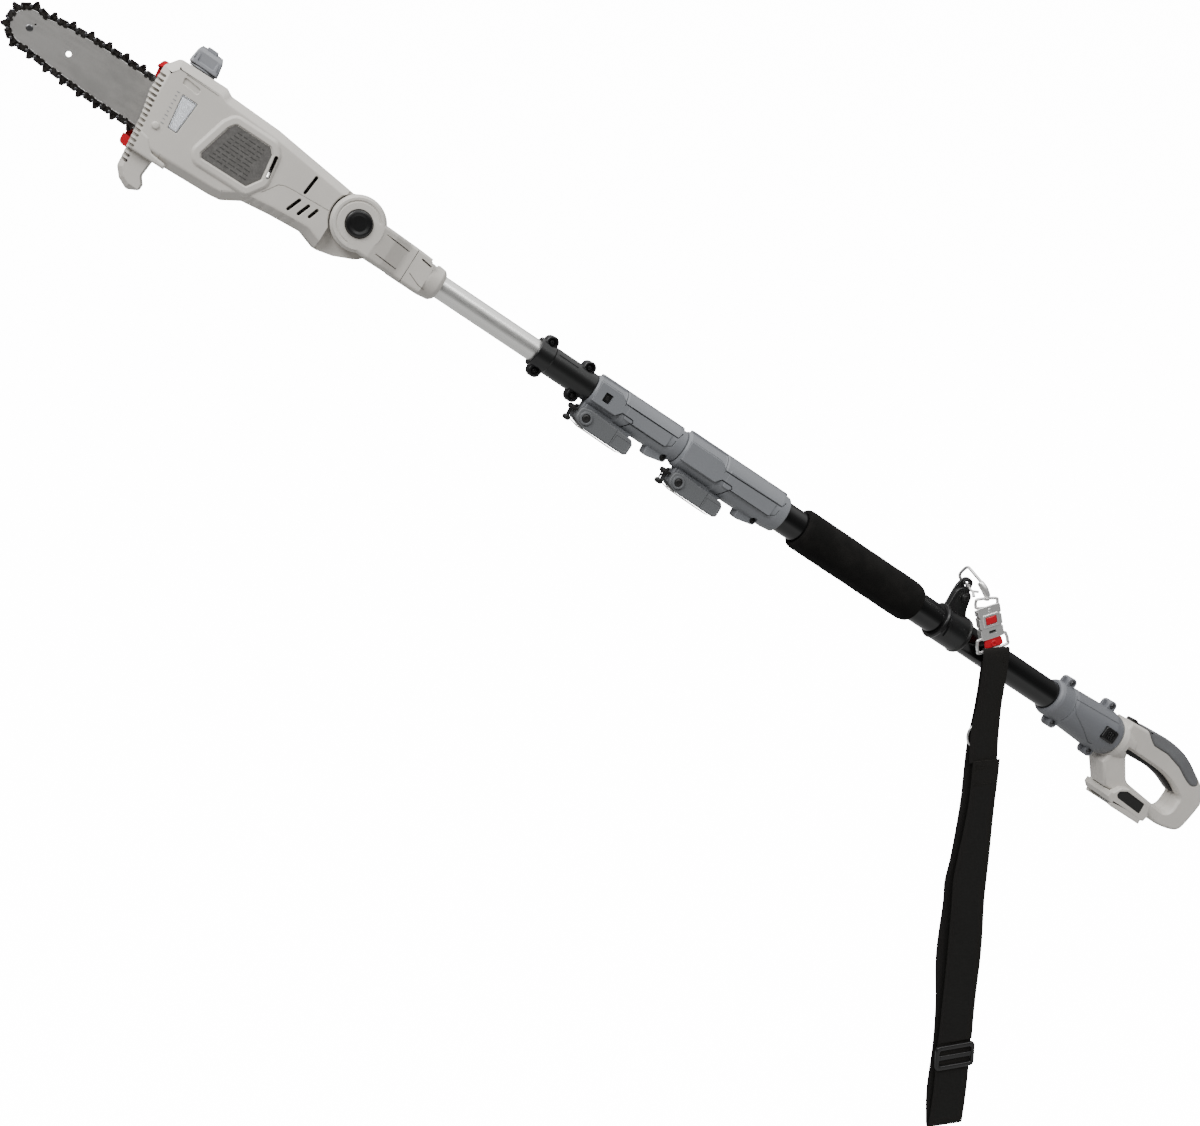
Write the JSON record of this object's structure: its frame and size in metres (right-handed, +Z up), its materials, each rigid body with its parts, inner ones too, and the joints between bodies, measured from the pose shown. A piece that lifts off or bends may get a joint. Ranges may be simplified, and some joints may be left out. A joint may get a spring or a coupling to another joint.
{
  "type": "telescoping pole saw",
  "caption": "Cordless telescoping pole saw with a tilting chain bar head, flip-locked pole stages, foam grip, D handle and a clip-on shoulder strap.",
  "frame": {"origin": "on the pole's axis at the middle of the foam grip, where the front hand holds it", "axes": "the pole lies in the XZ plane as it is carried, saw head up towards -X, handle down towards +X, +Z up, strap hanging along -Z"},
  "size_m": [1.3846, 0.0804, 1.3553],
  "materials": {
    "housing_plastic": "textured light warm grey injection-moulded plastic",
    "cap_plastic": "satin blue-grey plastic",
    "lock_plastic": "matte mid grey glass-filled plastic",
    "lever_plastic": "matte dark grey plastic",
    "red_plastic": "satin red plastic",
    "black_plastic": "satin black plastic",
    "black_tube": "gloss black coated aluminium tube",
    "foam": "closed-cell black-brown foam",
    "soft_grip": "matte dark grey over-moulded rubber",
    "plate_finish": "satin dark grey plate, blank",
    "clear_plastic": "translucent milky plastic",
    "webbing": "black woven polyester webbing",
    "bright_steel": "bright zinc-plated steel",
    "bar_steel": "satin ground steel",
    "chain_steel": "oiled dark steel",
    "bare_aluminium": "satin drawn aluminium tube",
    "copper_winding": "lacquered copper winding on a steel stack",
    "gear_steel": "sintered gear metal"
  },
  "bodies": {
    "pole": {"outer_tube": "black_tube", "lock_2_collar": "lock_plastic", "lock_2_boss_screw": "black_plastic", "lock_2_lever_bolt": "black_plastic", "foam_grip": "foam", "strap_clamp": "black_plastic", "clamp_screw": "black_plastic", "connector_near": "lock_plastic", "connector_far": "lock_plastic", "handle_near": "housing_plastic", "handle_far": "housing_plastic", "soft_grip": "soft_grip", "switch_body": "black_plastic", "battery_dock": "housing_plastic", "terminal_block": "black_plastic"},
    "lock_2_flip": {"lock_2_lever": "lever_plastic"},
    "middle_stage": {"middle_tube": "black_tube", "lock_1_collar": "lock_plastic", "lock_1_boss_screw": "black_plastic", "lock_1_lever_bolt": "black_plastic"},
    "lock_1_flip": {"lock_1_lever": "lever_plastic"},
    "inner_stage": {"inner_tube": "black_tube", "coupling_near": "black_plastic", "coupling_far": "black_plastic", "head_tube": "bare_aluminium", "neck_shell_near": "housing_plastic", "neck_shell_far": "housing_plastic", "tilt_axle": "bright_steel"},
    "tilt_release": {"tilt_button": "black_plastic"},
    "saw_head": {"head_shell_near": "housing_plastic", "head_shell_far": "housing_plastic", "sprocket_cover": "red_plastic", "bar_stud": "bright_steel", "bar_nut": "bright_steel", "guide_bar": "bar_steel", "saw_chain": "chain_steel", "nose_rivet": "bright_steel", "motor_can": "bright_steel", "gearbox_plate": "lock_plastic", "oil_tank": "clear_plastic", "oil_window": "clear_plastic", "rating_plate": "plate_finish", "chain_tension_screw": "bright_steel"},
    "rotor": {"motor_rotor": "copper_winding"},
    "sprocket": {"drive_sprocket": "bright_steel", "crown_gear": "gear_steel"},
    "nose_wheel": {"nose_sprocket": "chain_steel"},
    "filler_cap": {"oil_cap": "cap_plastic"},
    "trigger_blade": {"trigger": "black_plastic"},
    "lock_off": {"lock_off_button": "black_plastic"},
    "pole_release": {"release_button": "black_plastic"},
    "hook": {"snap_hook": "bright_steel"},
    "gate": {"hook_gate": "bright_steel"},
    "strap": {"swivel_ring": "bright_steel", "strap_buckle": "bright_steel", "strap_webbing": "webbing", "strap_slider": "black_plastic", "webbing_ring": "bright_steel"},
    "red_release": {"buckle_release": "red_plastic"}
  },
  "joints": [
    {"name": "middle_extend", "type": "slide", "parent": "pole", "child": "middle_stage", "axis": [-0.8237, 0, 0.567], "range_m": [0, 0.4]},
    {"name": "inner_extend", "type": "slide", "parent": "middle_stage", "child": "inner_stage", "axis": [-0.8237, 0, 0.567], "range_m": [0, 0.4]},
    {"name": "lock_2_flip_open", "type": "hinge", "parent": "pole", "child": "lock_2_flip", "pos_m": [-0.22711, 0, 0.11626], "axis": [0, 1, 0], "range_deg": [0, 90]},
    {"name": "lock_1_flip_open", "type": "hinge", "parent": "middle_stage", "child": "lock_1_flip", "pos_m": [-0.33167, 0, 0.19187], "axis": [0, 1, 0], "range_deg": [0, 90]},
    {"name": "head_tilt", "type": "hinge", "parent": "inner_stage", "child": "saw_head", "pos_m": [-0.5658, 0, 0.39673], "axis": [0, -1, 0], "range_deg": [0, 60]},
    {"name": "tilt_release_press", "type": "slide", "parent": "inner_stage", "child": "tilt_release", "axis": [0, 1, 0], "range_m": [0, 0.004], "stiffness_N_per_m": 400},
    {"name": "rotor_spin", "type": "hinge", "parent": "saw_head", "child": "rotor", "pos_m": [-0.66522, -0.012, 0.44452], "axis": [0.8237, 0, -0.567], "continuous": true},
    {"name": "sprocket_spin", "type": "hinge", "parent": "saw_head", "child": "sprocket", "pos_m": [-0.713, 0, 0.47741], "axis": [0, 1, 0], "continuous": true},
    {"name": "nose_wheel_spin", "type": "hinge", "parent": "saw_head", "child": "nose_wheel", "pos_m": [-0.85525, 0, 0.57411], "axis": [0, 1, 0], "continuous": true},
    {"name": "filler_cap_turn", "type": "hinge", "parent": "saw_head", "child": "filler_cap", "pos_m": [-0.70024, -0.006, 0.54268], "axis": [0.567, 0, 0.8237], "range_deg": [0, 120]},
    {"name": "trigger_pull", "type": "hinge", "parent": "pole", "child": "trigger_blade", "pos_m": [0.46298, 0, -0.33446], "axis": [0, 1, 0], "range_deg": [0, 4], "stiffness_Nm_per_rad": 6},
    {"name": "lock_off_press", "type": "slide", "parent": "pole", "child": "lock_off", "axis": [-0.567, 0, -0.8237], "range_m": [0, 0.002], "stiffness_N_per_m": 400},
    {"name": "pole_release_press", "type": "slide", "parent": "pole", "child": "pole_release", "axis": [0, 1, 0], "range_m": [0, 0.004], "stiffness_N_per_m": 400},
    {"name": "hook_swing", "type": "hinge", "parent": "pole", "child": "hook", "pos_m": [0.14501, 0, -0.03183], "axis": [0, 1, 0], "range_deg": [-20, 20]},
    {"name": "strap_swivel", "type": "hinge", "parent": "hook", "child": "strap", "pos_m": [0.15601, -0.03, -0.03783], "axis": [0, 0, 1], "range_deg": [-15, 15]},
    {"name": "gate_open", "type": "hinge", "parent": "hook", "child": "gate", "pos_m": [0.15201, -0.0234, -0.03083], "axis": [0.8612, 0.5083, 0], "range_deg": [0, 20], "stiffness_Nm_per_rad": 0.05},
    {"name": "red_release_press", "type": "slide", "parent": "strap", "child": "red_release", "axis": [0, 1, 0], "range_m": [0, 0.0014], "stiffness_N_per_m": 400}
  ],
  "couplings": [
    {"joint": "sprocket_spin", "follows": "rotor_spin", "ratio": -0.33333},
    {"joint": "nose_wheel_spin", "follows": "rotor_spin", "ratio": -0.22222}
  ]
}
